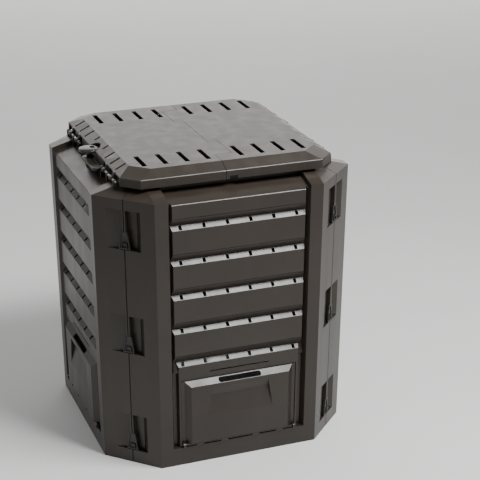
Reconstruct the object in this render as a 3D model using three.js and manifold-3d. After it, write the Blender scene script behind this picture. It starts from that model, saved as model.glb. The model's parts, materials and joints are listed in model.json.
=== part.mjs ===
import * as THREE from 'three';
import { mergeVertices } from 'three/addons/utils/BufferGeometryUtils.js';
import Module from 'manifold-3d';

// Modular square compost bin, millimetres, +Z up, front towards -Y, origin bottom centre.
// The wall kit is drawn straight at ground size and spread evenly with height (SPREAD).

// ---- body shell ----
const HALF = 348.5;
const CORNER = 124.5;
const SPREAD = 4.145e-5;
const WALL = 4;
const SEAM_GAP = 0.35;
const SHOULDER_GAP = 0.9;
const SEAM_REBATE = 1.3;
const REBATE_DEPTH = 3;
const SHOULDER_Z = 762;
const COLLAR_HALF = 274;
const COLLAR_CORNER = 50;
const COLLAR_RISE = 22;
const COLLAR_TOP = 800;
const CHANNEL_Z = 751;
const CHANNEL_SLOPE = 0.296;
const POST_X = 189.6;
const FAR = 60;
const OVER = 10;
const LAP = 1;

// ---- boards, ledges and vents of one wall ----
const BOARD_D = 6;
const GROOVE_D = 17.5;
const GROOVE_X = 182;
const BOARD_X = 178;
const BOARD_WALL = 4.5;
const FIRST_LEDGE_Z = 686.3;
const LEDGE_PITCH = 96.9;
const LEDGE_COUNT = 5;
const LEDGE_HALF = 5.5;
const BOARD_LIP = 1.6;
const CREASE_RISE = 26;
const CREASE_HALF = 0.9;
const CREASE_DEPTH = 1.6;
const VENT_X = [31.2, 93.6, 156];
const VENT_HALF = 4.2;
const VENT_HALF_Z = 4.5;

// ---- hatch surround and rail ----
const RAIL_TOP = 52;
const FRAME_X = 169;
const FRAME_FOOT_X = 173;
const OPENING_X = 163.7;
const OPENING_TOP = 251.7;
const LEDGE_END_DROP = 27;
const SLIT_X = 84;
const SLIT_Z = 268;
const SLIT_HALF = 1.7;

// ---- corner seams, pockets and clips ----
const RIB = 5;
const RIB_DEPTH = 18;
const POCKETS = [[625, 733], [330, 438], [38, 146]];
const POCKET_DEPTH = 14;
const POCKET_FLOOR_E = 30;
const POCKET_OUT_E = 47;
const RAMP_DEPTH = 11;
const RAMP_OUT_E = 52;
const CLIP_HEIGHT = 48;
const CLIP_LIFT = 2;
const CLIP_TOP_HALF = 8.5;
const CLIP_FOOT_HALF = 16.5;
const CLIP_DEPTH = 7.4;
const CLIP_SKIN = 3.7;
const CLIP_CHEEK = 3.2;
const CLIP_SINK = 2.2;
const FIT = 0.3;
const SILL = 3;
const POCKET_LIP = 1;

// ---- removal hatch ----
const HATCH_X = 162.5;
const HATCH_Z = [57, 249.5];
const HATCH_D = 8;
const HATCH_WALL = 3.5;
const BLOCK_FOOT_X = 153.5;
const BLOCK_FOOT_TOP = 247;
const BLOCK_X = 138.5;
const BLOCK_TOP = 233.5;
const BLOCK_BOTTOM = 62;
const BLOCK_D = -6;
const BLOCK_EASE = 0.42;
const SCOOP_Z = [140, 197, 222];
const SCOOP_X = [93, 79];
const SCOOP_D = 3;
const GRIP_X = 60;
const GRIP_Z = [234.5, 245];
const PIN_Z = 59;
const PIN_D = -0.5;
const PIN_R = 3;
const PIN_X = 163;
const PIN_FIT = 0.1;
const KNUCKLE_R = 6;
const KNUCKLE_HALF = 10;
const KNUCKLE_X = [45, 115];
const BRACKET_X = [155.5, 162.5];
const BORE_R = 3.3;

// ---- lid ----
const LID_TOP_Z = 828;
const LID_BREAK_Z = 810.7;
const LID_RIM_Z = 787.5;
const LID_TOP = [258, 272.5];
const LID_RIM = [292.4, 307.4];
const LID_TOP_CORNER = 45;
const LID_RIM_CORNER = 42.7;
const LID_WALL = 4;
const LID_FOLD = 1.6;
const TOP_SLOT_X = [46, 104.1, 162.1, 220.2];
const TOP_SLOT_Y = [163, 248];
const TOP_SLOT_HALF = 6.5;
const SIDE_SLOT_Y = [206, 155, 104];
const SIDE_SLOT_X = [259, 287];
const SHORT_SLOT_Y = 42;
const SHORT_SLOT_X = [259, 275];
const SIDE_SLOT_HALF = 4.5;
const RIM_GAP_Y = [112, 258];
const RIM_GAP_TOP = 808;
const SEAM_HALF = 0.5;
const LOCK_BAY_R = 32;
const NOTCH_X = [0, 11];
const NOTCH_TOP = 796;
const TONGUE = [105, 218];
const TONGUE_X = 27;
const TONGUE_END_X = 20;

// ---- lid hinges ----
const ROD_X = 298;
const ROD_Z = 793;
const ROD_R = 3.5;
const ROD_Y = [113, 243];
const ROD_BORE_R = 3.65;
const EAR_R = 5.5;
const EAR_Y = [[114, 120], [172, 178], [236, 242]];
const EAR_FOOT_CHANNEL = 763.5;
const EAR_FOOT_POST = 776;
const HOOK_Y = [140, 210];
const HOOK_HALF = 7;
const HOOK_R = 7.5;
const HOOK_BORE_R = 3.95;
const HOOK_ARM_X = [287, 294];
const HOOK_ARM_Z = [788, 811];

// ---- lock ----
const LOCK_X = 302;
const DISC_R = 28;
const DISC_Z = [805.5, 809, 812.6, 814.8, 815.6];
const DISC_HAUNCH = 0.9;
const DISC_CROWN = 0.6;
const DISC_STEM_R = 8;
const LEVER_Z = [782, 790];
const HUB_R = 14;
const LEVER_END = 110;
const LEVER_HALF = 13.5;
const LEVER_SHIFT = 5;
const STEM_R = 5.5;
const STEM_FOOT = 770;
const BOSS_R = 11;
const BOSS_Z = [763, 780.5];
const BOSS_FLOOR = 768.5;
const KEY_HALF = [7, 5];
const KEY_SHIFT = 9;
const KEY_FLOOR = 808;

const X = new THREE.Vector3(1, 0, 0);
const Y = new THREE.Vector3(0, 1, 0);
const Z = new THREE.Vector3(0, 0, 1);
const ROUND = 20;
const SMOOTH = 32;
const ARC = 10;
const MERGE = 1e-4;

const wasm = await Module();
wasm.setup();

// ---- solids ----
function solid(geometry) {
  const plain = geometry.clone();
  plain.deleteAttribute('normal');
  plain.deleteAttribute('uv');
  const merged = mergeVertices(plain, MERGE);
  return new wasm.Manifold(new wasm.Mesh({
    numProp: 3,
    vertProperties: new Float32Array(merged.attributes.position.array),
    triVerts: new Uint32Array(merged.index.array),
  }));
}

function geometryOf(body) {
  const mesh = body.getMesh();
  const geometry = new THREE.BufferGeometry();
  geometry.setAttribute('position', new THREE.BufferAttribute(mesh.vertProperties.slice(), 3));
  geometry.setIndex(new THREE.BufferAttribute(mesh.triVerts.slice(), 1));
  return geometry;
}

// Polygon in the (u, v) plane, swept along u x v from w0 to w1.
function prism(points, u, v, w0, w1, origin = new THREE.Vector3()) {
  const shape = new THREE.Shape(points.map(([a, b]) => new THREE.Vector2(a, b)));
  const geometry = new THREE.ExtrudeGeometry(shape, { depth: w1 - w0, bevelEnabled: false });
  geometry.translate(0, 0, w0);
  const w = new THREE.Vector3().crossVectors(u, v);
  geometry.applyMatrix4(new THREE.Matrix4().makeBasis(u, v, w).setPosition(origin));
  return solid(geometry);
}

const rect = (x0, y0, x1, y1) => [[x0, y0], [x1, y0], [x1, y1], [x0, y1]];

function box(x, y, z) {
  const geometry = new THREE.BoxGeometry(x[1] - x[0], y[1] - y[0], z[1] - z[0]);
  geometry.translate((x[0] + x[1]) / 2, (y[0] + y[1]) / 2, (z[0] + z[1]) / 2);
  return solid(geometry);
}

function rodAlongX(x0, x1, y, z, radius) {
  const geometry = new THREE.CylinderGeometry(radius, radius, x1 - x0, ROUND);
  geometry.rotateZ(Math.PI / 2);
  geometry.translate((x0 + x1) / 2, y, z);
  return solid(geometry);
}

function post(x, y, z0, z1, radius, segments = ROUND) {
  const geometry = new THREE.CylinderGeometry(radius, radius, z1 - z0, segments);
  geometry.rotateX(Math.PI / 2);
  geometry.translate(x, y, (z0 + z1) / 2);
  return solid(geometry);
}

const join = (bodies) => bodies.reduce((sum, body) => sum.add(body));

function octagon(half, corner) {
  const near = half - corner;
  return [
    [-near, -half], [near, -half], [half, -near], [half, near],
    [near, half], [-near, half], [-half, near], [-half, -near],
  ];
}

// Corner cut left by moving every side of an octagon inwards by the same distance.
const insetCorner = (corner, inset) => corner - inset * (2 - Math.SQRT2);

function spread(geometry) {
  const position = geometry.attributes.position;
  for (let i = 0; i < position.count; i += 1) {
    const scale = 1 + SPREAD * position.getZ(i);
    position.setXY(i, position.getX(i) * scale, position.getY(i) * scale);
  }
  return geometry;
}

function turned(geometry, quarterTurns) {
  return geometry.clone().rotateZ(quarterTurns * Math.PI / 2);
}

// ---- one wall, drawn as the front one; d is depth in from its outer plane ----
const front = new THREE.Vector3(0, -HALF, 0);
const alongX = (points, x0, x1) => prism(points, Y, Z, x0, x1, front);
const ledgeZ = [...Array(LEDGE_COUNT).keys()].map((i) => FIRST_LEDGE_Z - i * LEDGE_PITCH);

// Wing frames at the two seams: e runs out along the corner, p runs inwards.
const SEAM = HALF - CORNER / 2;
const diagonal = Math.SQRT1_2;
const leftWing = {
  at: new THREE.Vector3(-SEAM, -SEAM, 0),
  e: new THREE.Vector3(diagonal, -diagonal, 0),
  p: new THREE.Vector3(diagonal, diagonal, 0),
  span: (z0, z1) => [z0, z1],
};
const rightWing = {
  at: new THREE.Vector3(SEAM, -SEAM, 0),
  e: new THREE.Vector3(-diagonal, -diagonal, 0),
  p: new THREE.Vector3(-diagonal, diagonal, 0),
  span: (z0, z1) => [-z1, -z0],
};
const onWing = (wing, points, z0, z1) => prism(points, wing.e, wing.p, ...wing.span(z0, z1), wing.at);

function shoulderCut(drop) {
  const half = HALF - CORNER;
  const depth = HALF - COLLAR_HALF;
  const cornerDepth = (2 * HALF - CORNER - 2 * COLLAR_HALF + COLLAR_CORNER) * diagonal;
  const slope = COLLAR_RISE / depth;
  const cornerSlope = COLLAR_RISE / cornerDepth;
  const above = (reach, rate) => [
    [-OVER, SHOULDER_Z - drop - OVER * rate],
    [reach + drop, SHOULDER_Z - drop + (reach + drop) * rate],
    [reach + drop, COLLAR_TOP + FAR],
    [-OVER, COLLAR_TOP + FAR],
  ];
  const middle = alongX(above(depth, slope), -half, half);
  const corners = [leftWing, rightWing].map((wing) => {
    const cut = prism(above(cornerDepth, cornerSlope), wing.p, Z, -HALF, HALF, wing.at);
    const x = wing === leftWing ? [-HALF - OVER, -half] : [half, HALF + OVER];
    return cut.intersect(box(x, [-HALF - OVER, 0], [0, COLLAR_TOP + FAR + OVER]));
  });
  return join([middle, ...corners]);
}

function boardProfile(shift, top) {
  const steep = 2 * LEDGE_HALF / (GROOVE_D - BOARD_D);
  const out = [
    [FAR, top + (FAR - BOARD_D) * CHANNEL_SLOPE],
    [BOARD_D + BOARD_LIP + shift, top + (BOARD_LIP + shift) * CHANNEL_SLOPE],
    [BOARD_D + shift, top + (BOARD_LIP + shift) * CHANNEL_SLOPE - BOARD_LIP * steep],
  ];
  for (const z of ledgeZ) {
    out.push([BOARD_D + shift, z + CREASE_RISE]);
    out.push([GROOVE_D + shift, z + LEDGE_HALF]);
    out.push([BOARD_D + shift, z - LEDGE_HALF]);
  }
  return out;
}

function boards(shift) {
  const top = CHANNEL_Z - (shift > 0 ? WALL : 0);
  const low = ledgeZ[LEDGE_COUNT - 1] + LEDGE_HALF;
  const floor = shift > 0 ? -OVER : RAIL_TOP;
  const profile = [...boardProfile(shift, top), [BOARD_D + shift, floor], [FAR, floor]];
  const body = alongX(profile, -GROOVE_X, GROOVE_X);
  const side = shift > 0 ? WALL : 0;
  const plan = (face, foot) => [
    [-foot + side, FAR + OVER], [-foot + side, GROOVE_D + shift],
    [-face + side, BOARD_D + shift], [face - side, BOARD_D + shift],
    [foot - side, GROOVE_D + shift], [foot - side, FAR + OVER],
  ];
  const upper = prism(plan(BOARD_X, GROOVE_X), X, Y, low, COLLAR_TOP, front);
  const lower = prism(plan(FRAME_X, FRAME_FOOT_X), X, Y, -OVER - LAP, low, front);
  const foot = low - LEDGE_END_DROP + side;
  const end = [[GROOVE_D + shift, low], [BOARD_D + shift, foot], [FAR, foot], [FAR, low]];
  return body.intersect(upper.add(lower)).add(alongX(end, -GROOVE_X + side, GROOVE_X - side));
}

function recess(grow) {
  const plan = [
    [-POST_X - grow, -OVER], [POST_X + grow, -OVER], [POST_X + grow, 0],
    [GROOVE_X + grow, GROOVE_D + grow], [-GROOVE_X - grow, GROOVE_D + grow], [-POST_X - grow, 0],
  ];
  return prism(plan, X, Y, RAIL_TOP - grow, CHANNEL_Z + OVER, front);
}

function channel(grow) {
  const reach = HALF - COLLAR_HALF + grow;
  const start = CHANNEL_Z - grow - (BOARD_D + OVER) * CHANNEL_SLOPE;
  const end = CHANNEL_Z - grow + (reach - BOARD_D) * CHANNEL_SLOPE;
  const points = [[-OVER, start], [reach, end], [reach, COLLAR_TOP + FAR], [-OVER, COLLAR_TOP + FAR]];
  return alongX(points, -POST_X - grow, POST_X + grow);
}

function wallShell() {
  const outer = prism(octagon(HALF, CORNER), X, Y, 0, COLLAR_TOP)
    .subtract(shoulderCut(0))
    .subtract(channel(0))
    .subtract(recess(0))
    .add(boards(0));
  const innerOctagon = octagon(HALF - WALL, insetCorner(CORNER, WALL));
  const collarOctagon = octagon(COLLAR_HALF - WALL, insetCorner(COLLAR_CORNER, WALL));
  const inner = prism(innerOctagon, X, Y, -OVER, COLLAR_TOP)
    .subtract(shoulderCut(WALL))
    .subtract(channel(WALL))
    .subtract(recess(WALL))
    .add(boards(BOARD_WALL))
    .add(prism(collarOctagon, X, Y, -OVER, COLLAR_TOP + OVER));
  const reach = HALF + OVER;
  const quarter = (gap, z0, z1) => {
    const tip = -gap * Math.SQRT2;
    return prism([[0, tip], [-reach, tip - reach], [reach, tip - reach]], X, Y, z0, z1);
  };
  const wedge = quarter(SEAM_GAP, -OVER, SHOULDER_Z)
    .add(quarter(SHOULDER_GAP, SHOULDER_Z, LID_TOP_Z));
  return { shell: outer.subtract(inner), wedge, outer };
}

function pocketShapes(grow) {
  const lead = grow > 0 ? POCKET_LIP : -OVER;
  const deep = [
    [RIB - grow, lead], [POCKET_OUT_E + grow, lead], [POCKET_OUT_E + grow, grow > 0 ? grow : 0],
    [POCKET_FLOOR_E + grow, POCKET_DEPTH + grow], [RIB - grow, POCKET_DEPTH + grow],
  ];
  const ramp = [
    [RIB - grow, lead], [RAMP_OUT_E + grow, lead], [RAMP_OUT_E + grow, grow > 0 ? grow : 0],
    [RIB - grow, RAMP_DEPTH + grow],
  ];
  const bodies = [];
  for (const [z0, z1] of POCKETS) {
    bodies.push(onWing(leftWing, deep, z0 - grow, z1 + grow));
    bodies.push(onWing(rightWing, ramp, z0 - grow, z1 + grow));
  }
  return join(bodies);
}

// Chamfer along the lower edge of every pocket, where the clip's foot shows.
function pocketSills() {
  const cuts = [];
  for (const [z0] of POCKETS) {
    const profile = [[-OVER, z0 - SILL - OVER], [SILL + LAP, z0 + LAP], [-OVER, z0 + LAP]];
    cuts.push(prism(profile, leftWing.p, Z, -POCKET_OUT_E, -RIB, leftWing.at));
    cuts.push(prism(profile, rightWing.p, Z, RIB, RAMP_OUT_E, rightWing.at));
  }
  return join(cuts);
}

// Shadow groove down the outside of every seam; the ribs behind it close the gap.
function seamRebates() {
  const groove = rect(-LAP, -OVER, SEAM_REBATE, REBATE_DEPTH);
  return onWing(leftWing, groove, -OVER, SHOULDER_Z)
    .add(onWing(rightWing, groove, -OVER, SHOULDER_Z));
}

function ribs() {
  const flange = rect(0, WALL / 2, RIB, RIB_DEPTH);
  return onWing(leftWing, flange, 0, SHOULDER_Z)
    .add(onWing(rightWing, flange, 0, SHOULDER_Z));
}

function clipSeats() {
  const seat = rect(-OVER, -OVER, RIB + FIT, WALL);
  const seats = [];
  for (const [z0] of POCKETS) {
    for (const wing of [leftWing, rightWing]) {
      seats.push(onWing(wing, seat, z0, z0 + CLIP_LIFT + CLIP_HEIGHT + FIT));
    }
  }
  return join(seats);
}

function wallCuts() {
  const cuts = [];
  const d = (near, far) => [near - HALF, far - HALF];
  for (const z of ledgeZ) {
    for (const x of VENT_X) {
      for (const side of [-1, 1]) {
        cuts.push(box([side * x - VENT_HALF, side * x + VENT_HALF], d(0, FAR),
          [z - VENT_HALF_Z, z + VENT_HALF_Z]));
      }
    }
    const crease = z + CREASE_RISE;
    cuts.push(box([-BOARD_X + WALL, BOARD_X - WALL], d(0, BOARD_D + CREASE_DEPTH),
      [crease - CREASE_HALF, crease + CREASE_HALF]));
  }
  cuts.push(box([-SLIT_X, SLIT_X], d(0, FAR), [SLIT_Z - SLIT_HALF, SLIT_Z + SLIT_HALF]));
  cuts.push(box([-OPENING_X, OPENING_X], d(-OVER, FAR), [RAIL_TOP, OPENING_TOP]));
  return join(cuts);
}

function hatchBrackets() {
  const y = PIN_D - HALF;
  const bodies = [];
  for (const side of [-1, 1]) {
    const [near, far] = BRACKET_X.map((value) => side * value).sort((a, b) => a - b);
    const stand = box([near, far], [y + PIN_R - KNUCKLE_R, y + KNUCKLE_R], [RAIL_TOP - WALL / 2, PIN_Z]);
    bodies.push(stand.add(rodAlongX(near, far, y, PIN_Z, KNUCKLE_R)));
  }
  return join(bodies);
}

const wallBase = (() => {
  const { shell, wedge, outer } = wallShell();
  const liners = pocketShapes(WALL).add(ribs()).intersect(outer);
  return shell.add(liners)
    .subtract(pocketShapes(0))
    .subtract(pocketSills())
    .subtract(seamRebates())
    .subtract(clipSeats())
    .intersect(wedge)
    .subtract(wallCuts())
    .add(hatchBrackets())
    .subtract(rodAlongX(-PIN_X - OVER, PIN_X + OVER, PIN_D - HALF, PIN_Z, PIN_R + PIN_FIT));
})();

// Ears for the lid rods, carried by the two side walls only.
function rodEars() {
  const bodies = [];
  for (const [near, far] of EAR_Y) {
    for (const side of [-1, 1]) {
      const x = [side * near, side * far].sort((a, b) => a - b);
      const foot = near > POST_X ? EAR_FOOT_POST : EAR_FOOT_CHANNEL;
      bodies.push(box(x, [-ROD_X - EAR_R, -ROD_X + EAR_R], [foot, ROD_Z]));
      bodies.push(rodAlongX(...x, -ROD_X, ROD_Z, EAR_R));
    }
  }
  const bore = rodAlongX(-HALF, HALF, -ROD_X, ROD_Z, ROD_BORE_R);
  return join(bodies).subtract(bore);
}

const bossBore = post(0, -LOCK_X, BOSS_FLOOR, BOSS_Z[1] + OVER, STEM_R + FIT);
const plainWall = spread(geometryOf(wallBase));
const boss = post(0, -LOCK_X, ...BOSS_Z, BOSS_R);
const hingedWall = solid(plainWall).add(rodEars());
const rightWall = geometryOf(hingedWall);
const lockWall = geometryOf(hingedWall.add(boss).subtract(bossBore));

// ---- corner clip ----
function clipGeometry(z0) {
  const foot = z0 + CLIP_LIFT;
  const top = foot + CLIP_HEIGHT;
  const wing = leftWing;
  const across = wing.e;
  const face = [
    [-CLIP_FOOT_HALF, foot], [CLIP_FOOT_HALF, foot], [CLIP_TOP_HALF, top], [-CLIP_TOP_HALF, top],
  ];
  const sunk = [
    [-CLIP_FOOT_HALF + CLIP_CHEEK, foot + CLIP_CHEEK], [CLIP_FOOT_HALF - CLIP_CHEEK, foot + CLIP_CHEEK],
    [CLIP_TOP_HALF - CLIP_CHEEK, top + OVER], [-CLIP_TOP_HALF + CLIP_CHEEK, top + OVER],
  ];
  const inwards = new THREE.Vector3().crossVectors(across, Z);
  const sign = inwards.dot(wing.p);
  const span = (p0, p1) => (sign > 0 ? [p0, p1] : [-p1, -p0]);
  const body = prism(face, across, Z, ...span(0, CLIP_DEPTH), wing.at);
  const well = prism(sunk, across, Z, ...span(-OVER, CLIP_SINK), wing.at);
  const slot = prism(rect(-RIB - FIT, foot - OVER, RIB + FIT, top + OVER), across, Z,
    ...span(CLIP_SKIN, CLIP_DEPTH + OVER), wing.at);
  return spread(geometryOf(body.subtract(well).subtract(slot)));
}

// ---- removal hatch ----
function hatchBlock(inset) {
  const back = inset > 0 ? HATCH_D + FAR : HATCH_D;
  const face = BLOCK_D + inset;
  const run = BLOCK_FOOT_X - BLOCK_X;
  const rise = HATCH_D - BLOCK_D;
  const lip = BLOCK_FOOT_TOP - BLOCK_TOP;
  const ease = inset * BLOCK_EASE;
  const far = back > HATCH_D ? [[BLOCK_FOOT_X - ease, back]] : [];
  const plan = [
    ...far.map(([x, y]) => [-x, y]), [-BLOCK_FOOT_X + ease, HATCH_D],
    [-BLOCK_FOOT_X + ease + (rise - inset) * run / rise, face],
    [BLOCK_FOOT_X - ease - (rise - inset) * run / rise, face],
    [BLOCK_FOOT_X - ease, HATCH_D], ...far,
  ];
  const slopeTop = BLOCK_FOOT_TOP - ease - (rise - inset) * lip / rise;
  const profile = [
    [back, BLOCK_BOTTOM + inset], [back, BLOCK_FOOT_TOP - ease], [HATCH_D, BLOCK_FOOT_TOP - ease],
    [face, slopeTop], [face, BLOCK_BOTTOM + inset],
  ];
  const level = prism(plan, X, Y, 0, SHOULDER_Z, front);
  return alongX(profile, -HATCH_X, HATCH_X).intersect(level);
}

function hatchScoop(grow) {
  const [low, deep, high] = SCOOP_Z;
  const trough = [[BLOCK_D, low - grow], [SCOOP_D + grow, deep], [BLOCK_D, high + grow]];
  const mouth = [[BLOCK_D - OVER, high], [BLOCK_D - OVER, low]];
  const profile = grow > 0 ? trough : [...trough, ...mouth];
  const [wide, narrow] = SCOOP_X.map((value) => value + grow);
  const outline = [[-wide, low - grow], [wide, low - grow], [narrow, high + grow], [-narrow, high + grow]];
  const trim = prism(outline, X, Z, HALF - FAR, HALF + FAR);
  return alongX(profile, -HATCH_X, HATCH_X).intersect(trim);
}

function gripSlot() {
  const [low, high] = GRIP_Z;
  const radius = (high - low) / 2;
  const shape = new THREE.Shape();
  shape.absarc(GRIP_X - radius, 0, radius, -Math.PI / 2, Math.PI / 2, false);
  shape.absarc(-GRIP_X + radius, 0, radius, Math.PI / 2, 3 * Math.PI / 2, false);
  const geometry = new THREE.ExtrudeGeometry(shape, { depth: FAR, bevelEnabled: false, curveSegments: ARC });
  geometry.rotateX(Math.PI / 2);
  geometry.translate(0, HATCH_D - HALF + OVER, (low + high) / 2);
  return solid(geometry);
}

const hatchBase = (() => {
  const y = PIN_D - HALF;
  const flange = box([-HATCH_X, HATCH_X], [HATCH_D - HALF, HATCH_D + HATCH_WALL - HALF], HATCH_Z);
  const outer = flange.add(hatchBlock(0));
  const knuckles = [];
  for (const x of KNUCKLE_X) {
    for (const side of [-1, 1]) {
      const x0 = side * x - KNUCKLE_HALF;
      const x1 = side * x + KNUCKLE_HALF;
      knuckles.push(rodAlongX(x0, x1, y, PIN_Z, KNUCKLE_R));
    }
  }
  return outer.subtract(hatchBlock(HATCH_WALL))
    .add(hatchScoop(HATCH_WALL).intersect(hatchBlock(0)))
    .subtract(hatchScoop(0))
    .subtract(gripSlot())
    .add(join(knuckles))
    .subtract(rodAlongX(-PIN_X, PIN_X, y, PIN_Z, BORE_R));
})();
const hatchGeometry = spread(geometryOf(hatchBase));
const hatchPin = spread(geometryOf(rodAlongX(-PIN_X, PIN_X, PIN_D - HALF, PIN_Z, PIN_R)));

// ---- lid ----
function lidVolume(inset, top, bottom) {
  const slice = (topHalf, rimHalf) => {
    const brk = LID_BREAK_Z - inset / 2;
    const shoulder = rimHalf - inset;
    const high = topHalf - inset / 2;
    const rise = LID_FOLD * (top - brk) / (shoulder - high);
    const fold = [[shoulder, brk - LID_FOLD + rise], [shoulder - LID_FOLD, brk + rise]];
    const mirrored = fold.map(([x, z]) => [-x, z]).reverse();
    return [[-shoulder, bottom], [shoulder, bottom], ...fold, [high, top], [-high, top], ...mirrored];
  };
  const reach = 2 * HALF;
  const cornerTop = (LID_TOP[0] + LID_TOP[1] - LID_TOP_CORNER) * diagonal;
  const cornerRim = (LID_RIM[0] + LID_RIM[1] - LID_RIM_CORNER) * diagonal;
  const one = new THREE.Vector3(diagonal, diagonal, 0);
  const two = new THREE.Vector3(-diagonal, diagonal, 0);
  return prism(slice(LID_TOP[1], LID_RIM[1]), Y, Z, -reach, reach)
    .intersect(prism(slice(LID_TOP[0], LID_RIM[0]), X, Z, -reach, reach))
    .intersect(prism(slice(cornerTop, cornerRim), one, Z, -reach, reach))
    .intersect(prism(slice(cornerTop, cornerRim), two, Z, -reach, reach));
}

function lidCuts(withBay) {
  const cuts = [];
  const through = [LID_RIM_Z - OVER, LID_TOP_Z + OVER];
  const signs = [[1, 1], [1, -1], [-1, 1], [-1, -1]];
  const span = (sign, pair) => pair.map((value) => sign * value).sort((a, b) => a - b);
  for (const [sx, sy] of signs) {
    for (const x of TOP_SLOT_X) {
      cuts.push(box([sx * x - TOP_SLOT_HALF, sx * x + TOP_SLOT_HALF], span(sy, TOP_SLOT_Y), through));
    }
    for (const y of SIDE_SLOT_Y) {
      cuts.push(box(span(sx, SIDE_SLOT_X), [sy * y - SIDE_SLOT_HALF, sy * y + SIDE_SLOT_HALF], through));
    }
    const y = sy * SHORT_SLOT_Y;
    cuts.push(box(span(sx, SHORT_SLOT_X), [y - SIDE_SLOT_HALF, y + SIDE_SLOT_HALF], through));
    cuts.push(box(span(sx, [LID_RIM[0] - LID_WALL - OVER, LID_RIM[0] + OVER]), span(sy, RIM_GAP_Y),
      [LID_RIM_Z - OVER, RIM_GAP_TOP]));
    cuts.push(box(span(sx, NOTCH_X), span(sy, [LID_RIM[1] - OVER, LID_RIM[1] + OVER]),
      [LID_RIM_Z - OVER, NOTCH_TOP]));
  }
  if (withBay) {
    cuts.push(post(-LOCK_X, 0, ...through, LOCK_BAY_R, SMOOTH));
  }
  return join(cuts);
}

// Left half's outline in plan: the meander keeps the two halves alike under a half turn.
const BAY_Y = [TONGUE[1] + SEAM_HALF, TONGUE[0] - SEAM_HALF];
const TIP_Y = [TONGUE[1] - SEAM_HALF, TONGUE[0] + SEAM_HALF];
const MEANDER = [
  [TONGUE_END_X - SEAM_HALF, HALF], [TONGUE_END_X - SEAM_HALF, BAY_Y[0]],
  [-TONGUE_X - SEAM_HALF, BAY_Y[0]], [-TONGUE_X - SEAM_HALF, BAY_Y[1]],
  [-SEAM_HALF, BAY_Y[1]], [-SEAM_HALF, -TIP_Y[1]],
  [TONGUE_X - SEAM_HALF, -TIP_Y[1]], [TONGUE_X - SEAM_HALF, -TIP_Y[0]],
  [-TONGUE_END_X - SEAM_HALF, -TIP_Y[0]], [-TONGUE_END_X - SEAM_HALF, -HALF],
];

function hooks() {
  const bodies = [];
  const bores = [];
  for (const y of HOOK_Y) {
    for (const side of [-1, 1]) {
      const y0 = side * y - HOOK_HALF;
      const y1 = side * y + HOOK_HALF;
      const ring = new THREE.CylinderGeometry(HOOK_R, HOOK_R, y1 - y0, ROUND);
      ring.translate(-ROD_X, (y0 + y1) / 2, ROD_Z);
      bodies.push(solid(ring));
      bodies.push(box([-HOOK_ARM_X[1], -HOOK_ARM_X[0]], [y0, y1], HOOK_ARM_Z));
      const slit = [-ROD_X - HOOK_BORE_R, -ROD_X + HOOK_BORE_R];
      bores.push(box(slit, [y0 - LAP, y1 + LAP], [ROD_Z - 2 * OVER, ROD_Z]));
    }
  }
  const bore = new THREE.CylinderGeometry(HOOK_BORE_R, HOOK_BORE_R, 2 * HALF, ROUND);
  bore.translate(-ROD_X, 0, ROD_Z);
  return join(bodies).subtract(join(bores)).subtract(solid(bore));
}

function lidHalf(withBay) {
  const outer = lidVolume(0, LID_TOP_Z, LID_RIM_Z);
  const inner = lidVolume(LID_WALL, LID_TOP_Z - LID_WALL, LID_RIM_Z - OVER);
  const outline = [...MEANDER, [-HALF, -HALF], [-HALF, HALF]].reverse();
  const side = prism(outline, X, Y, LID_RIM_Z - 2 * OVER, LID_TOP_Z + OVER);
  const body = outer.subtract(inner).subtract(lidCuts(withBay)).intersect(side);
  return geometryOf(body.add(hooks()));
}

const lidRod = (() => {
  const geometry = new THREE.CylinderGeometry(ROD_R, ROD_R, ROD_Y[1] - ROD_Y[0], ROUND);
  geometry.translate(-ROD_X, (ROD_Y[0] + ROD_Y[1]) / 2, ROD_Z);
  return geometry;
})();

// ---- rotary lock; its lever points to the front ----
const lockDisc = (() => {
  const [foot, edge, haunch, crown, top] = DISC_Z;
  const outline = [
    [0, LEVER_Z[1] + FIT], [DISC_STEM_R, LEVER_Z[1] + FIT], [DISC_STEM_R, foot], [DISC_R, foot],
    [DISC_R, edge], [DISC_R * DISC_HAUNCH, haunch], [DISC_R * DISC_CROWN, crown], [0, top],
  ].map(([x, y]) => new THREE.Vector2(x, y));
  const dome = new THREE.LatheGeometry(outline, SMOOTH);
  dome.rotateX(Math.PI / 2);
  dome.translate(-LOCK_X, 0, 0);
  const keyX = -LOCK_X + KEY_SHIFT;
  const keySpan = [keyX - KEY_HALF[1], keyX + KEY_HALF[1]];
  const key = box(keySpan, [-KEY_HALF[0], KEY_HALF[0]], [KEY_FLOOR, LID_TOP_Z]);
  return geometryOf(solid(dome).subtract(key));
})();

const lockLever = (() => {
  const middle = -LOCK_X - LEVER_SHIFT;
  const shape = new THREE.Shape();
  shape.moveTo(middle + LEVER_HALF, 0);
  shape.lineTo(middle - LEVER_HALF, 0);
  shape.lineTo(middle - LEVER_HALF, -LEVER_END + LEVER_HALF);
  shape.absarc(middle, -LEVER_END + LEVER_HALF, LEVER_HALF, Math.PI, 2 * Math.PI, false);
  shape.closePath();
  const depth = LEVER_Z[1] - LEVER_Z[0];
  const paddle = new THREE.ExtrudeGeometry(shape, { depth, bevelEnabled: false, curveSegments: ARC });
  paddle.translate(0, 0, LEVER_Z[0]);
  return geometryOf(solid(paddle)
    .add(post(-LOCK_X, 0, ...LEVER_Z, HUB_R, SMOOTH))
    .add(post(-LOCK_X, 0, STEM_FOOT, LEVER_Z[0] + LAP, STEM_R)));
})();

// ---- the bin ----
const group = new THREE.Group();

function add(name, geometry, finish) {
  const mesh = new THREE.Mesh(geometry, new THREE.MeshStandardMaterial(finish));
  mesh.name = name;
  group.add(mesh);
}

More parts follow.
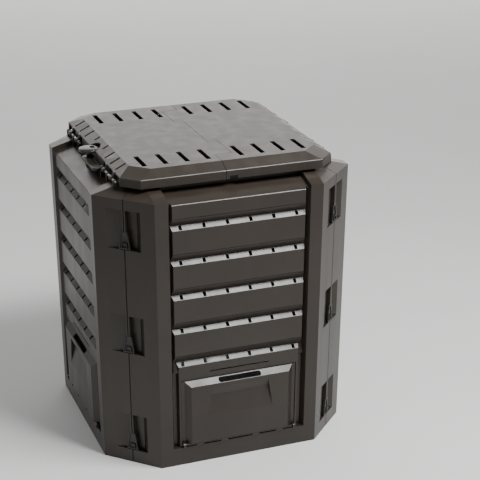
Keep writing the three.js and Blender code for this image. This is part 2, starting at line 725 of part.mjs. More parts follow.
const SHELL = { color: 0x2b2724, roughness: 0.5, metalness: 0 };
const TRIM = { color: 0x24211f, roughness: 0.5, metalness: 0 };
const METAL = { color: 0x9a9a98, roughness: 0.35, metalness: 0.8 };
const walls = { front: plainWall, right: rightWall, back: plainWall, left: lockWall };
Object.entries(walls).forEach(([name, wall], turn) => {
  add(`wall_${name}`, turned(wall, turn), SHELL);
  add(`hatch_${name}`, turned(hatchGeometry, turn), SHELL);
  add(`hatch_pin_${name}`, turned(hatchPin, turn), METAL);
});

const corners = ['front_left', 'front_right', 'back_right', 'back_left'];
const levels = ['top', 'middle', 'bottom'];
corners.forEach((name, turn) => {
  levels.forEach((level, i) => {
    add(`clip_${name}_${level}`, turned(clipGeometry(POCKETS[i][0]), turn), TRIM);
  });
});

add('lid_half_left', lidHalf(true), SHELL);
add('lid_half_right', turned(lidHalf(false), 2), SHELL);
const rodBack = lidRod;
const rodFront = lidRod.clone().translate(0, -ROD_Y[0] - ROD_Y[1], 0);
add('lid_rod_left_back', rodBack, METAL);
add('lid_rod_left_front', rodFront, METAL);
add('lid_rod_right_front', turned(rodBack, 2), METAL);
add('lid_rod_right_back', turned(rodFront, 2), METAL);
add('lock_disc', lockDisc, TRIM);
add('lock_lever', lockLever, TRIM);

export default group;
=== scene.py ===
import json
from contextlib import contextmanager
from math import cos, pi, radians, sin, sqrt

import bpy
from bpy.props import FloatProperty, FloatVectorProperty, PointerProperty
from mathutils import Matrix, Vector


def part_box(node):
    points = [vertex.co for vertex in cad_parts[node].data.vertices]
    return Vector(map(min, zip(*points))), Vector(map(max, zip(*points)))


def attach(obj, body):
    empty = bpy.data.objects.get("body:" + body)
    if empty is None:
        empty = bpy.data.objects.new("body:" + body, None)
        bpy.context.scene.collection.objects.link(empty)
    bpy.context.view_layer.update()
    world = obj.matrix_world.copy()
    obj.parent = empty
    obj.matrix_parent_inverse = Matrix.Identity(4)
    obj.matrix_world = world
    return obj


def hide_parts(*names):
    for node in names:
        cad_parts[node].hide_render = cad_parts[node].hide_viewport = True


bl_info = {
    "name": "Garden compost bin",
    "version": (1, 0, 0),
    "blender": (4, 5, 0),
    "location": "View3D > Sidebar > Compost Bin",
    "description": "Finishes a modular square compost bin around its packed CAD frame",
    "category": "Add Mesh",
}

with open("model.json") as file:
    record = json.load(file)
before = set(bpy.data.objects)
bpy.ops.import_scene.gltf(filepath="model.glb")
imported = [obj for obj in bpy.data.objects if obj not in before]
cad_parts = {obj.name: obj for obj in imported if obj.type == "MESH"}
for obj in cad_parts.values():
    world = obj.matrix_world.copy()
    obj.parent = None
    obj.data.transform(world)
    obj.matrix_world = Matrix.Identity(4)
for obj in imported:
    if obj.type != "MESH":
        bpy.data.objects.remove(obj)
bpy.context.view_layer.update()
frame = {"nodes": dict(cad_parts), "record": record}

WALLS = ("front", "right", "back", "left")
CORNERS = ("front_left", "front_right", "back_right", "back_left")
LEVELS = ("top", "middle", "bottom")
SIDES = ("left", "right")

# Moulded plastic. Noise scales are per metre, and a range is the part of the noise that is used.
CLOUD_SCALE = 5.0
CLOUD_RANGE = (0.38, 0.68)
CLOUD_STRENGTH = 0.8
STREAK_SCALE = 26.0
STREAK_STRETCH = (1, 1, 0.09)
STREAK_RANGE = (0.52, 0.8)
STREAK_ROUGH_RANGE = (0.3, 0.75)
ROUGHNESS_DIP = 0.02
SPECK_SCALE = 260.0
SPECK_RANGE = (0.66, 0.78)
SPECK_GAIN = 1.5
DUST_GAIN = 1.7
DUST_LIFT = 0.012
GRAIN_STRENGTH = 0.28
GRAIN_HEIGHT = 0.0003
SAG_SCALE = 7.0
SAG_STRENGTH = 0.16
SAG_HEIGHT = 0.004
PLASTIC_SPECULAR = 0.42
PLASTIC_IOR = 1.49
LID_ROUGHER = 0.04
FITTING_SMOOTHER = 0.06
WALL_DUST = 0.12
LID_DUST = 0.18
FITTING_DUST = 0.15

# Steel rods.
PATCH_SCALE = 60.0
PATCH_RANGE = (0.4, 0.7)
PATCH_ROUGH_RANGE = (0.35, 0.7)
STEEL_ROUGHNESS = (0.25, 0.5)
STEEL_DULLING = 0.6
STEEL_METALLIC = 0.9
LINE_SCALE = 900.0
LINE_STRETCH = (1, 0.05, 1)
LINE_STRENGTH = 0.15
LINE_HEIGHT = 0.0001

# Studio floor, air, sensor and lights.
FLOOR_SIZE = 24
FLOOR_SCALE = 2.0
FLOOR_RANGE = (0.3, 0.7)
FLOOR_COLOURS = ((0.74, 0.74, 0.73), (0.76, 0.76, 0.75))
FLOOR_ROUGHNESS = 0.85
AIR_COLOUR = (0.93, 0.95, 0.97, 1)
SENSOR_WIDTH = 36
BIN_MIDDLE = (0, 0, 0.45)
FRONT_LEDGE = (0, -0.33, 0.4)
WHITE = (1, 1, 1)
# Each light: name, place, the point it faces, width and height, power setting, colour.
LIGHTS = (
    ("back_light", (2.2, 6.0, 2.5), BIN_MIDDLE, (9.0, 4.2), "back_power", (1, 0.975, 0.97)),
    ("left_light", (-3.0, 2.4, 1.5), BIN_MIDDLE, (2.2, 2.2), "left_power", WHITE),
    ("ledge_light", (0.95, -1.42, 3.1), FRONT_LEDGE, (1.3, 0.95), "ledge_power", WHITE),
    ("sill_light", (-1.9, -0.3, 3.0), BIN_MIDDLE, (1.0, 0.9), "sill_power", WHITE),
    ("right_light", (3.4, 0.4, 2.4), BIN_MIDDLE, (1.8, 1.8), "right_power", WHITE),
)

# Edges. A face points along an axis when its normal passes FACING on it.
FACING = 0.9
DIAGONAL = sqrt(0.5)
WELD_REACH = 0.00002
FLAT_ANGLE = radians(0.4)
ROUND_ANGLE = radians(28)
ROUND_SEGMENTS = 2
SOFTEN_ANGLE = radians(35)
SMOOTH_ANGLE = radians(32)

# Rods and pins: sides as a count, the rest as parts of their radius.
ROD_SIDES = 40
ROD_RING = 0.22
DIMPLE_RING = 0.3
DIMPLE_DEPTH = 0.16
ROD_SOFT = 0.2

# Lock: sides and rings as counts, edges in metres, the rest as parts of the paddle or its rim.
LOCK_SIDES = 64
DOME_RINGS = 7
SOCKET_CORNER = 0.0012
DISC_SOFT = 0.0006
LEVER_SOFT = 0.0007
STRETCH_MARGIN = 0.02
RIM_SLOPE = 0.4
RIM_SINK = 0.22

# Clips and tongues: edges in metres, the rest as parts of the piece.
GRIP_WIDTH = 0.5
GRIP_FOOT = 0.06
GRIP_TOP = 0.36
GRIP_RIM = 0.6
CLIP_SOFT = 0.0005
TONGUE_RIM = 0.3
TONGUE_SINK = 0.2
TONGUE_SOFT = 0.0003


def joint_place(name):
    """Pivot point of a joint, in metres."""
    for joint in frame["record"]["behaviour"]["joints"]:
        if joint["name"] == name:
            return Vector(joint["pos_m"])
    raise RuntimeError(f"the frame has no joint called {name}")


# ---------------------------------------------------------------- settings


class BinPlasticSettings(bpy.types.PropertyGroup):
    """Colours and surface of the moulded plastic."""

    shell_colour: FloatVectorProperty(
        name="Shell colour", description="Colour of walls, hatches and lid",
        subtype="COLOR", size=3, min=0, max=1, default=(0.027, 0.0205, 0.0152))
    worn_colour: FloatVectorProperty(
        name="Weathered colour", description="Colour where the plastic has bloomed and dried",
        subtype="COLOR", size=3, min=0, max=1, default=(0.033, 0.0262, 0.021))
    fitting_colour: FloatVectorProperty(
        name="Fitting colour", description="Colour of clips and locks",
        subtype="COLOR", size=3, min=0, max=1, default=(0.016, 0.0145, 0.0135))
    steel_colour: FloatVectorProperty(
        name="Rod colour", description="Colour of the hinge rods",
        subtype="COLOR", size=3, min=0, max=1, default=(0.5, 0.49, 0.47))
    shell_roughness: FloatProperty(
        name="Shell roughness", description="Roughness of the moulded plastic",
        min=0.05, max=1, default=0.33)
    grain_size: FloatProperty(
        name="Grain size", description="Width of one grain of the moulded texture",
        subtype="DISTANCE", unit="LENGTH", min=0.0002, max=0.01, default=0.0012)
    edge_round: FloatProperty(
        name="Edge rounding", description="Width of the small round on moulded edges",
        subtype="DISTANCE", unit="LENGTH", min=0, max=0.004, default=0.0011)


class BinClipSettings(bpy.types.PropertyGroup):
    """Sizes of the wedge clips over the corner seams and the tongues behind them."""

    foot_width: FloatProperty(
        name="Foot width", description="Width of the clip at its foot",
        subtype="DISTANCE", unit="LENGTH", default=0.033)
    top_width: FloatProperty(
        name="Top width", description="Width of the clip at its top",
        subtype="DISTANCE", unit="LENGTH", default=0.017)
    depth: FloatProperty(
        name="Depth", description="Depth of the clip into the pocket",
        subtype="DISTANCE", unit="LENGTH", default=0.0074)
    skin: FloatProperty(
        name="Skin", description="Thickness of the clip in front of the ribs",
        subtype="DISTANCE", unit="LENGTH", default=0.0037)
    slot_width: FloatProperty(
        name="Slot width", description="Width of the slot that goes over both ribs",
        subtype="DISTANCE", unit="LENGTH", default=0.0106)
    cheek: FloatProperty(
        name="Cheek", description="Width of the raised edge round the clip's face",
        subtype="DISTANCE", unit="LENGTH", default=0.0028)
    sink: FloatProperty(
        name="Sink", description="How far the clip's face lies behind its cheeks",
        subtype="DISTANCE", unit="LENGTH", default=0.0022)
    tongue_width: FloatProperty(
        name="Tongue width", description="Width of the tongue behind a corner seam",
        subtype="DISTANCE", unit="LENGTH", default=0.009)
    tongue_depth: FloatProperty(
        name="Tongue thickness", description="Thickness of the tongue behind a corner seam",
        subtype="DISTANCE", unit="LENGTH", default=0.002)
    tongue_place: FloatProperty(
        name="Tongue setback", description="How far the tongue lies behind the outside of the corner",
        subtype="DISTANCE", unit="LENGTH", default=0.0192)
    tongue_gap: FloatProperty(
        name="Tongue foot", description="Height of the tongue's foot above the ground",
        subtype="DISTANCE", unit="LENGTH", default=0.002)
    tongue_rise: FloatProperty(
        name="Tongue rise", description="How far the tongue rises above the foot of the top clip",
        subtype="DISTANCE", unit="LENGTH", default=0.132)


class BinLockSettings(bpy.types.PropertyGroup):
    """Sizes of the rotary lock."""

    disc_depth: FloatProperty(
        name="Disc depth", description="Height of the disc from its underside to its crown",
        subtype="DISTANCE", unit="LENGTH", default=0.0101)
    disc_skirt: FloatProperty(
        name="Disc skirt", description="Height of the disc's upright edge",
        subtype="DISTANCE", unit="LENGTH", default=0.006)
    stem_radius: FloatProperty(
        name="Disc stem radius", description="Radius of the stem under the disc",
        subtype="DISTANCE", unit="LENGTH", default=0.008)
    key_shift: FloatProperty(
        name="Key socket offset", description="How far the socket is towards the lid",
        subtype="DISTANCE", unit="LENGTH", default=0.009)
    key_width: FloatProperty(
        name="Key socket width", description="Width of the square socket across the bin",
        subtype="DISTANCE", unit="LENGTH", default=0.013)
    key_length: FloatProperty(
        name="Key socket length", description="Length of the square socket along the edge",
        subtype="DISTANCE", unit="LENGTH", default=0.019)
    key_depth: FloatProperty(
        name="Key socket depth", description="Depth of the socket under the crown",
        subtype="DISTANCE", unit="LENGTH", default=0.0076)
    lever_width: FloatProperty(
        name="Lever width", description="Width of the paddle",
        subtype="DISTANCE", unit="LENGTH", default=0.027)
    lever_depth: FloatProperty(
        name="Lever thickness", description="Thickness of the paddle",
        subtype="DISTANCE", unit="LENGTH", default=0.008)
    lever_shift: FloatProperty(
        name="Lever offset", description="How far the paddle's middle is outside the pivot",
        subtype="DISTANCE", unit="LENGTH", default=0.005)
    lever_rim: FloatProperty(
        name="Lever rim", description="Width of the raised rim round the paddle",
        subtype="DISTANCE", unit="LENGTH", default=0.0026)
    hub_radius: FloatProperty(
        name="Hub radius", description="Radius of the lever's hub",
        subtype="DISTANCE", unit="LENGTH", default=0.014)
    pivot_radius: FloatProperty(
        name="Pivot radius", description="Radius of the stem that turns in the wall",
        subtype="DISTANCE", unit="LENGTH", default=0.0055)


class BinStageSettings(bpy.types.PropertyGroup):
    """Camera, lights and floor."""

    azimuth: FloatProperty(
        name="Camera azimuth", description="Camera direction round the bin, 0 looks along +Y",
        subtype="ANGLE", unit="ROTATION", default=radians(20.644))
    elevation: FloatProperty(
        name="Camera elevation", description="Camera height angle above the horizon",
        subtype="ANGLE", unit="ROTATION", default=radians(21.307))
    distance: FloatProperty(
        name="Camera distance", description="Distance from the camera to its target",
        subtype="DISTANCE", unit="LENGTH", default=3.9558)
    target: FloatVectorProperty(
        name="Camera target", description="Point that the camera looks at",
        subtype="TRANSLATION", size=3, unit="LENGTH", default=(0.11768, -0.03959, 0.50346))
    lens: FloatProperty(
        name="Lens", description="Focal length on a 36 mm sensor, in millimetres",
        min=10, default=104.22)
    sky_strength: FloatProperty(
        name="Sky strength", description="Brightness of the even surrounding light", min=0, default=0.21)
    back_power: FloatProperty(
        name="Back light power", description="Power of the wide light behind the bin",
        subtype="POWER", unit="POWER", min=0, default=285)
    ledge_power: FloatProperty(
        name="Ledge light power", description="Power of the light above the front",
        subtype="POWER", unit="POWER", min=0, default=158)
    sill_power: FloatProperty(
        name="Sill light power", description="Power of the light high on the left",
        subtype="POWER", unit="POWER", min=0, default=9)
    left_power: FloatProperty(
        name="Left light power", description="Power of the large light on the left",
        subtype="POWER", unit="POWER", min=0, default=22)
    right_power: FloatProperty(
        name="Right light power", description="Power of the light on the right",
        subtype="POWER", unit="POWER", min=0, default=2)


# ---------------------------------------------------------------- materials


def start_material(name):
    """An empty node material with its shader and Object coordinates."""
    material = bpy.data.materials.new(name)
    material.use_nodes = True
    nodes, links = material.node_tree.nodes, material.node_tree.links
    shader = nodes["Principled BSDF"]
    place = nodes.new("ShaderNodeTexCoord").outputs["Object"]
    return material, nodes, links, shader, place


def noise(nodes, links, place, scale, detail, stretch=(1, 1, 1)):
    """Noise on Object coordinates, squeezed or stretched along each axis."""
    mapping = nodes.new("ShaderNodeMapping")
    mapping.inputs["Scale"].default_value = stretch
    texture = nodes.new("ShaderNodeTexNoise")
    texture.inputs["Scale"].default_value = scale
    texture.inputs["Detail"].default_value = detail
    links.new(place, mapping.inputs["Vector"])
    links.new(mapping.outputs["Vector"], texture.inputs["Vector"])
    return texture.outputs["Fac"]


def remap(nodes, links, value, low, high, to_low, to_high):
    """A value mapped from one range to another and held at its ends."""
    node = nodes.new("ShaderNodeMapRange")
    for socket, number in zip(
            ("From Min", "From Max", "To Min", "To Max"), (low, high, to_low, to_high)):
        node.inputs[socket].default_value = number
    links.new(value, node.inputs["Value"])
    return node.outputs["Result"]


def mix_colour(nodes, links, factor, first, second):
    """Blend of two colours; each is a colour or an output socket."""
    node = nodes.new("ShaderNodeMix")
    node.data_type = "RGBA"
    links.new(factor, node.inputs["Factor"])
    for socket, colour in ((node.inputs[6], first), (node.inputs[7], second)):
        if hasattr(colour, "links"):
            links.new(colour, socket)
        else:
            socket.default_value = (*colour, 1)
    return node.outputs[2]


def moulded_plastic(name, colour, bloom, roughness, grain, dust):
    """Grained polypropylene with weathered bloom, rain streaks and dust in patches."""
    material, nodes, links, shader, place = start_material(name)
    cloud = noise(nodes, links, place, CLOUD_SCALE, 5)
    streak = noise(nodes, links, place, STREAK_SCALE, 4, STREAK_STRETCH)
    speck = noise(nodes, links, place, SPECK_SCALE, 2)
    fine = noise(nodes, links, place, 1 / grain, 2)
    bloom_here = remap(nodes, links, cloud, *CLOUD_RANGE, 0, CLOUD_STRENGTH)
    tint = mix_colour(nodes, links, bloom_here, colour, bloom)
    streak_here = remap(nodes, links, streak, *STREAK_RANGE, 0, dust)
    pale = tuple(min(1, channel * DUST_GAIN + DUST_LIFT) for channel in bloom)
    streaked = mix_colour(nodes, links, streak_here, tint, pale)
    speck_here = remap(nodes, links, speck, *SPECK_RANGE, 0, dust)
    palest = tuple(channel * SPECK_GAIN for channel in pale)
    finished = mix_colour(nodes, links, speck_here, streaked, palest)
    links.new(finished, shader.inputs["Base Color"])
    rough_streak = remap(nodes, links, streak, *STREAK_ROUGH_RANGE,
                         roughness - ROUGHNESS_DIP, roughness + dust / 2)
    links.new(rough_streak, shader.inputs["Roughness"])
    bump = nodes.new("ShaderNodeBump")
    bump.inputs["Strength"].default_value = GRAIN_STRENGTH
    bump.inputs["Distance"].default_value = GRAIN_HEIGHT
    links.new(fine, bump.inputs["Height"])
    sag = nodes.new("ShaderNodeBump")
    sag.inputs["Strength"].default_value = SAG_STRENGTH
    sag.inputs["Distance"].default_value = SAG_HEIGHT
    links.new(noise(nodes, links, place, SAG_SCALE, 1), sag.inputs["Height"])
    links.new(sag.outputs["Normal"], bump.inputs["Normal"])
    links.new(bump.outputs["Normal"], shader.inputs["Normal"])
    shader.inputs["Specular IOR Level"].default_value = PLASTIC_SPECULAR
    shader.inputs["IOR"].default_value = PLASTIC_IOR
    return material


def drawn_steel(name, colour):
    """Galvanised rod with faint drawing lines and dull patches."""
    material, nodes, links, shader, place = start_material(name)
    patch = noise(nodes, links, place, PATCH_SCALE, 4)
    line = noise(nodes, links, place, LINE_SCALE, 2, LINE_STRETCH)
    dull = tuple(channel * STEEL_DULLING for channel in colour)
    patch_here = remap(nodes, links, patch, *PATCH_RANGE, 0, 1)
    links.new(mix_colour(nodes, links, patch_here, colour, dull), shader.inputs["Base Color"])
    rough_patch = remap(nodes, links, patch, *PATCH_ROUGH_RANGE, *STEEL_ROUGHNESS)
    links.new(rough_patch, shader.inputs["Roughness"])
    bump = nodes.new("ShaderNodeBump")
    bump.inputs["Strength"].default_value = LINE_STRENGTH
    bump.inputs["Distance"].default_value = LINE_HEIGHT
    links.new(line, bump.inputs["Height"])
    links.new(bump.outputs["Normal"], shader.inputs["Normal"])
    shader.inputs["Metallic"].default_value = STEEL_METALLIC
    return material


def pale_floor(name):
    """Even pale studio floor with a very faint mottle."""
    material, nodes, links, shader, place = start_material(name)
    soft = remap(nodes, links, noise(nodes, links, place, FLOOR_SCALE, 3), *FLOOR_RANGE, 0, 1)
    links.new(mix_colour(nodes, links, soft, *FLOOR_COLOURS), shader.inputs["Base Color"])
    shader.inputs["Roughness"].default_value = FLOOR_ROUGHNESS
    return material


FINISHES = {}


def finish_for(name):
    """The finish of that name, made once from the settings."""
    plastic = bpy.context.scene.bin_plastic
    if not FINISHES:
        shell, worn = tuple(plastic.shell_colour), tuple(plastic.worn_colour)
        fitting, grain = tuple(plastic.fitting_colour), plastic.grain_size
        rough = plastic.shell_roughness
        FINISHES["wall"] = moulded_plastic("wall_plastic", shell, worn, rough, grain, WALL_DUST)
        FINISHES["lid"] = moulded_plastic(
            "lid_plastic", shell, worn, rough + LID_ROUGHER, grain, LID_DUST)
        FINISHES["hatch"] = moulded_plastic("hatch_plastic", shell, worn, rough, grain, WALL_DUST)
        FINISHES["fitting"] = moulded_plastic(
            "fitting_plastic", fitting, shell, rough - FITTING_SMOOTHER, grain, FITTING_DUST)
        FINISHES["steel"] = drawn_steel("rod_steel", tuple(plastic.steel_colour))
    return FINISHES[name]


def dress(thing, finish):
    """Gives an object one finish all over."""
    thing.data.materials.clear()
    thing.data.materials.append(finish_for(finish))


# ---------------------------------------------------------------- modelling helpers


def choose(thing):
    """Makes one object the only selected and active one."""
    bpy.ops.object.select_all(action="DESELECT")
    thing.select_set(True)
    bpy.context.view_layer.objects.active = thing


@contextmanager
def editing(piece, kind, test):
    """Edit mode on a piece with only the faces, edges or vertices that pass the test selected."""
    choose(piece)
    bpy.ops.object.mode_set(mode="EDIT")
    bpy.ops.mesh.select_mode(type=kind)
    bpy.ops.mesh.select_all(action="DESELECT")
    bpy.ops.object.mode_set(mode="OBJECT")
    mesh = piece.data
    if kind == "FACE":
        for face in mesh.polygons:
            face.select = test(face.center, face.normal)
    elif kind == "VERT":
        for vertex in mesh.vertices:
            vertex.select = test(vertex.co, vertex.normal)
    else:
        for edge in mesh.edges:
            ends = [mesh.vertices[i].co for i in edge.vertices]
            edge.select = test(*ends)
    bpy.ops.object.mode_set(mode="EDIT")
    yield
    bpy.ops.object.mode_set(mode="OBJECT")


def settle(piece, name):
    """Names a piece and bakes its place into its mesh."""
    piece.name = name
    piece.data.name = name
    choose(piece)
    bpy.ops.object.transform_apply(location=True, rotation=True, scale=True)
    return piece


def add_block(name, low, high):
    """Rectangular block between two corners."""
    bpy.ops.object.select_all(action="DESELECT")
    middle = [(a + b) / 2 for a, b in zip(low, high)]
    bpy.ops.mesh.primitive_cube_add(size=1, location=middle)
    bpy.context.object.scale = [b - a for a, b in zip(low, high)]
    return settle(bpy.context.object, name)


def add_round(name, middle, radius, length, axis="Z", sides=48):
    """Round bar along an axis, centred on a point."""
    turn = {"X": (0, pi / 2, 0), "Y": (pi / 2, 0, 0), "Z": (0, 0, 0)}[axis]
    bpy.ops.object.select_all(action="DESELECT")
    bpy.ops.mesh.primitive_cylinder_add(
        vertices=sides, radius=radius, depth=length, location=middle, rotation=turn)
    return settle(bpy.context.object, name)


def apply_all(piece):
    """Applies every modifier of a piece in order."""
    choose(piece)
    for modifier in list(piece.modifiers):
        bpy.ops.object.modifier_apply(modifier=modifier.name)


def combine(piece, tool, operation):
    """Joins a tool to a piece, or cuts it out, and removes the tool."""
    change = piece.modifiers.new(operation.lower(), "BOOLEAN")
    change.operation = operation
    change.solver = "EXACT"
    change.object = tool
    apply_all(piece)
    bpy.data.objects.remove(tool)


def soften(piece, width, segments=3):
    """Rounds the hard edges of a piece and shades it smoothly between them."""
    bevel = piece.modifiers.new("soft edges", "BEVEL")
    bevel.width = width
    bevel.segments = segments
    bevel.limit_method = "ANGLE"
    bevel.angle_limit = SOFTEN_ANGLE
    bevel.use_clamp_overlap = True
    apply_all(piece)
    bpy.ops.object.shade_smooth_by_angle(angle=SMOOTH_ANGLE)


def finish_piece(piece, finish, body, slot, *nodes):
    """Dresses a piece, rides it on its body and lets it stand for CAD nodes, if any."""
    dress(piece, finish)
    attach(piece, body)
    if nodes:
        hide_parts(*nodes)


def round_edges(thing, width):
    """Live welding, flattening and edge rounding on a carried-over node."""
    weld = thing.modifiers.new("join faces", "WELD")
    weld.merge_threshold = WELD_REACH
    flat = thing.modifiers.new("flat faces", "DECIMATE")
    flat.decimate_type = "DISSOLVE"
    flat.angle_limit = FLAT_ANGLE
    bevel = thing.modifiers.new("round edges", "BEVEL")
    bevel.width = width
    bevel.segments = ROUND_SEGMENTS
    bevel.limit_method = "ANGLE"
    bevel.angle_limit = ROUND_ANGLE
    bevel.use_clamp_overlap = True
    bevel.miter_outer = "MITER_SHARP"


def finish_node(name, finish):
    """Dresses a carried-over node and rounds its moulded edges."""
    node = frame["nodes"][name]
    dress(node, finish)
    round_edges(node, bpy.context.scene.bin_plastic.edge_round)


def turned_copies(first, kind, ending=""):
    """Copies of a front left piece on the other corners, each with its corner's name."""
    for turn, corner in enumerate(CORNERS[1:], start=1):
        piece = first.copy()
        piece.data = first.data.copy()
        bpy.context.scene.collection.objects.link(piece)
        piece.rotation_euler.z = turn * pi / 2
        yield corner, settle(piece, f"{kind}_{corner}{ending}")


# ---------------------------------------------------------------- operators


class BIN_OT_finish_walls(bpy.types.Operator):
    """Finish the four walls: rounded moulded edges and weathered plastic"""
    bl_idname = "compost_bin.finish_walls"
    bl_label = "Finish walls"

    def execute(self, context):
        for wall in WALLS:
            finish_node(f"wall_{wall}", "wall")
        return {"FINISHED"}


class BIN_OT_finish_hatches(bpy.types.Operator):
    """Finish the four hatches: rounded moulded edges and weathered plastic"""
    bl_idname = "compost_bin.finish_hatches"
    bl_label = "Finish hatches"

    def execute(self, context):
        for wall in WALLS:
            finish_node(f"hatch_{wall}", "hatch")
        return {"FINISHED"}


class BIN_OT_finish_lid(bpy.types.Operator):
    """Finish the two lid halves: rounded moulded edges and weathered plastic"""
    bl_idname = "compost_bin.finish_lid"
    bl_label = "Finish lid"

    def execute(self, context):
        for side in SIDES:
            finish_node(f"lid_half_{side}", "lid")
        return {"FINISHED"}


class BIN_OT_model_rods(bpy.types.Operator):
    """Model the lid rods and hatch pins with rounded, dimpled ends"""
    bl_idname = "compost_bin.model_rods"
    bl_label = "Model rods"

    def execute(self, context):
        for side in SIDES:
            body = "bin" if side == "left" else "right_hinge"
            for end in ("front", "back"):
                self.rod(f"lid_rod_{side}_{end}", "Y", "steel", body)
        for wall in WALLS:
            axis = "X" if wall in ("front", "back") else "Y"
            self.rod(f"hatch_pin_{wall}", axis, "fitting", "bin")
        return {"FINISHED"}

    def rod(self, node, axis, finish, body):
        """One rod as long and as thick as its node."""
        low, high = (Vector(corner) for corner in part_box(node))
        along = "XYZ".index(axis)
        span = high - low
        radius = span.z / 2
        name = node.replace("lid_rod", "hinge_rod").replace("hatch_pin", "tilt_pin")
        piece = add_round(name, (low + high) / 2, radius, span[along], axis, ROD_SIDES)
        with editing(piece, "FACE", lambda middle, normal: abs(normal[along]) > FACING):
            bpy.ops.mesh.inset(thickness=radius * ROD_RING)
            bpy.ops.mesh.inset(thickness=radius * DIMPLE_RING, depth=-radius * DIMPLE_DEPTH)
        soften(piece, radius * ROD_SOFT)
        finish_piece(piece, finish, body, "pin", node)


class BIN_OT_model_lock(bpy.types.Operator):
    """Model the rotary lock: a domed disc with a square key socket, and its lever"""
    bl_idname = "compost_bin.model_lock"
    bl_label = "Model lock"

    def execute(self, context):
        lock = context.scene.bin_lock
        pivot = joint_place("lock_turn")
        low, high = (Vector(corner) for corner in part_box("lock_disc"))
        radius = (high.y - low.y) / 2
        foot = high.z - lock.disc_depth
        self.disc(lock, pivot, radius, foot, low.z, high.z)
        self.lever(lock, pivot)
        return {"FINISHED"}

    def disc(self, lock, pivot, radius, foot, stem_foot, top):
        """Domed disc with an upright skirt and a square key socket, on a stem."""
        skirt = lock.disc_skirt
        middle = (pivot.x, pivot.y, foot + skirt / 2)
        piece = add_round("lock_dome", middle, radius, skirt, "Z", LOCK_SIDES)
        rise = top - foot - skirt
        with editing(piece, "FACE", lambda spot, normal: normal.z > FACING):
            before = 1.0
            for ring in range(1, DOME_RINGS):
                angle = ring / DOME_RINGS * pi / 2
                step = rise * (sin(angle) - sin((ring - 1) / DOME_RINGS * pi / 2))
                bpy.ops.mesh.extrude_region_move(TRANSFORM_OT_translate={"value": (0, 0, step)})
                scale = cos(angle) / before
                bpy.ops.transform.resize(
                    value=(scale, scale, 1), center_override=(pivot.x, pivot.y, top))
                before = cos(angle)
        with editing(piece, "FACE", lambda spot, normal: normal.z < -FACING):
            bpy.ops.mesh.inset(thickness=radius - lock.stem_radius)
            bpy.ops.mesh.extrude_region_move(
                TRANSFORM_OT_translate={"value": (0, 0, stem_foot - foot)})
        key_x = pivot.x + lock.key_shift
        half_x, half_y = lock.key_width / 2, lock.key_length / 2
        socket = add_block("socket", (key_x - half_x, pivot.y - half_y, top - lock.key_depth),
                           (key_x + half_x, pivot.y + half_y, top + lock.key_depth))
        with editing(socket, "EDGE", lambda a, b: abs(a.z - b.z) > lock.key_depth):
            bpy.ops.mesh.bevel(offset=SOCKET_CORNER, segments=3, affect="EDGES")
        combine(piece, socket, "DIFFERENCE")
        soften(piece, DISC_SOFT)
        finish_piece(piece, "fitting", "lock", "trim", "lock_disc")

    def lever(self, lock, pivot):
        """Rounded paddle with a raised rim, on a hub and stem."""
        low, high = (Vector(corner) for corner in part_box("lock_lever"))
        half = lock.lever_width / 2
        middle_x = pivot.x - lock.lever_shift
        depth = lock.lever_depth
        level = high.z - depth / 2
        end_y = low.y + half
        piece = add_round("lock_paddle", (middle_x, end_y, level), half, depth, "Z", LOCK_SIDES)
        with editing(piece, "VERT", lambda spot, normal: spot.y > end_y + half * STRETCH_MARGIN):
            bpy.ops.transform.translate(value=(0, pivot.y - end_y, 0))
        with editing(piece, "FACE", lambda spot, normal: normal.z > FACING):
            bpy.ops.mesh.inset(thickness=lock.lever_rim)
            bpy.ops.mesh.inset(thickness=lock.lever_rim * RIM_SLOPE, depth=-depth * RIM_SINK)
        hub_middle = (pivot.x, pivot.y, level)
        hub = add_round("hub", hub_middle, lock.hub_radius, depth, "Z", LOCK_SIDES)
        combine(piece, hub, "UNION")
        length = high.z - depth * 0.5 - low.z
        stem_middle = (pivot.x, pivot.y, low.z + length / 2)
        stem = add_round("stem", stem_middle, lock.pivot_radius, length)
        combine(piece, stem, "UNION")
        soften(piece, LEVER_SOFT)
        finish_piece(piece, "fitting", "lock", "trim", "lock_lever")


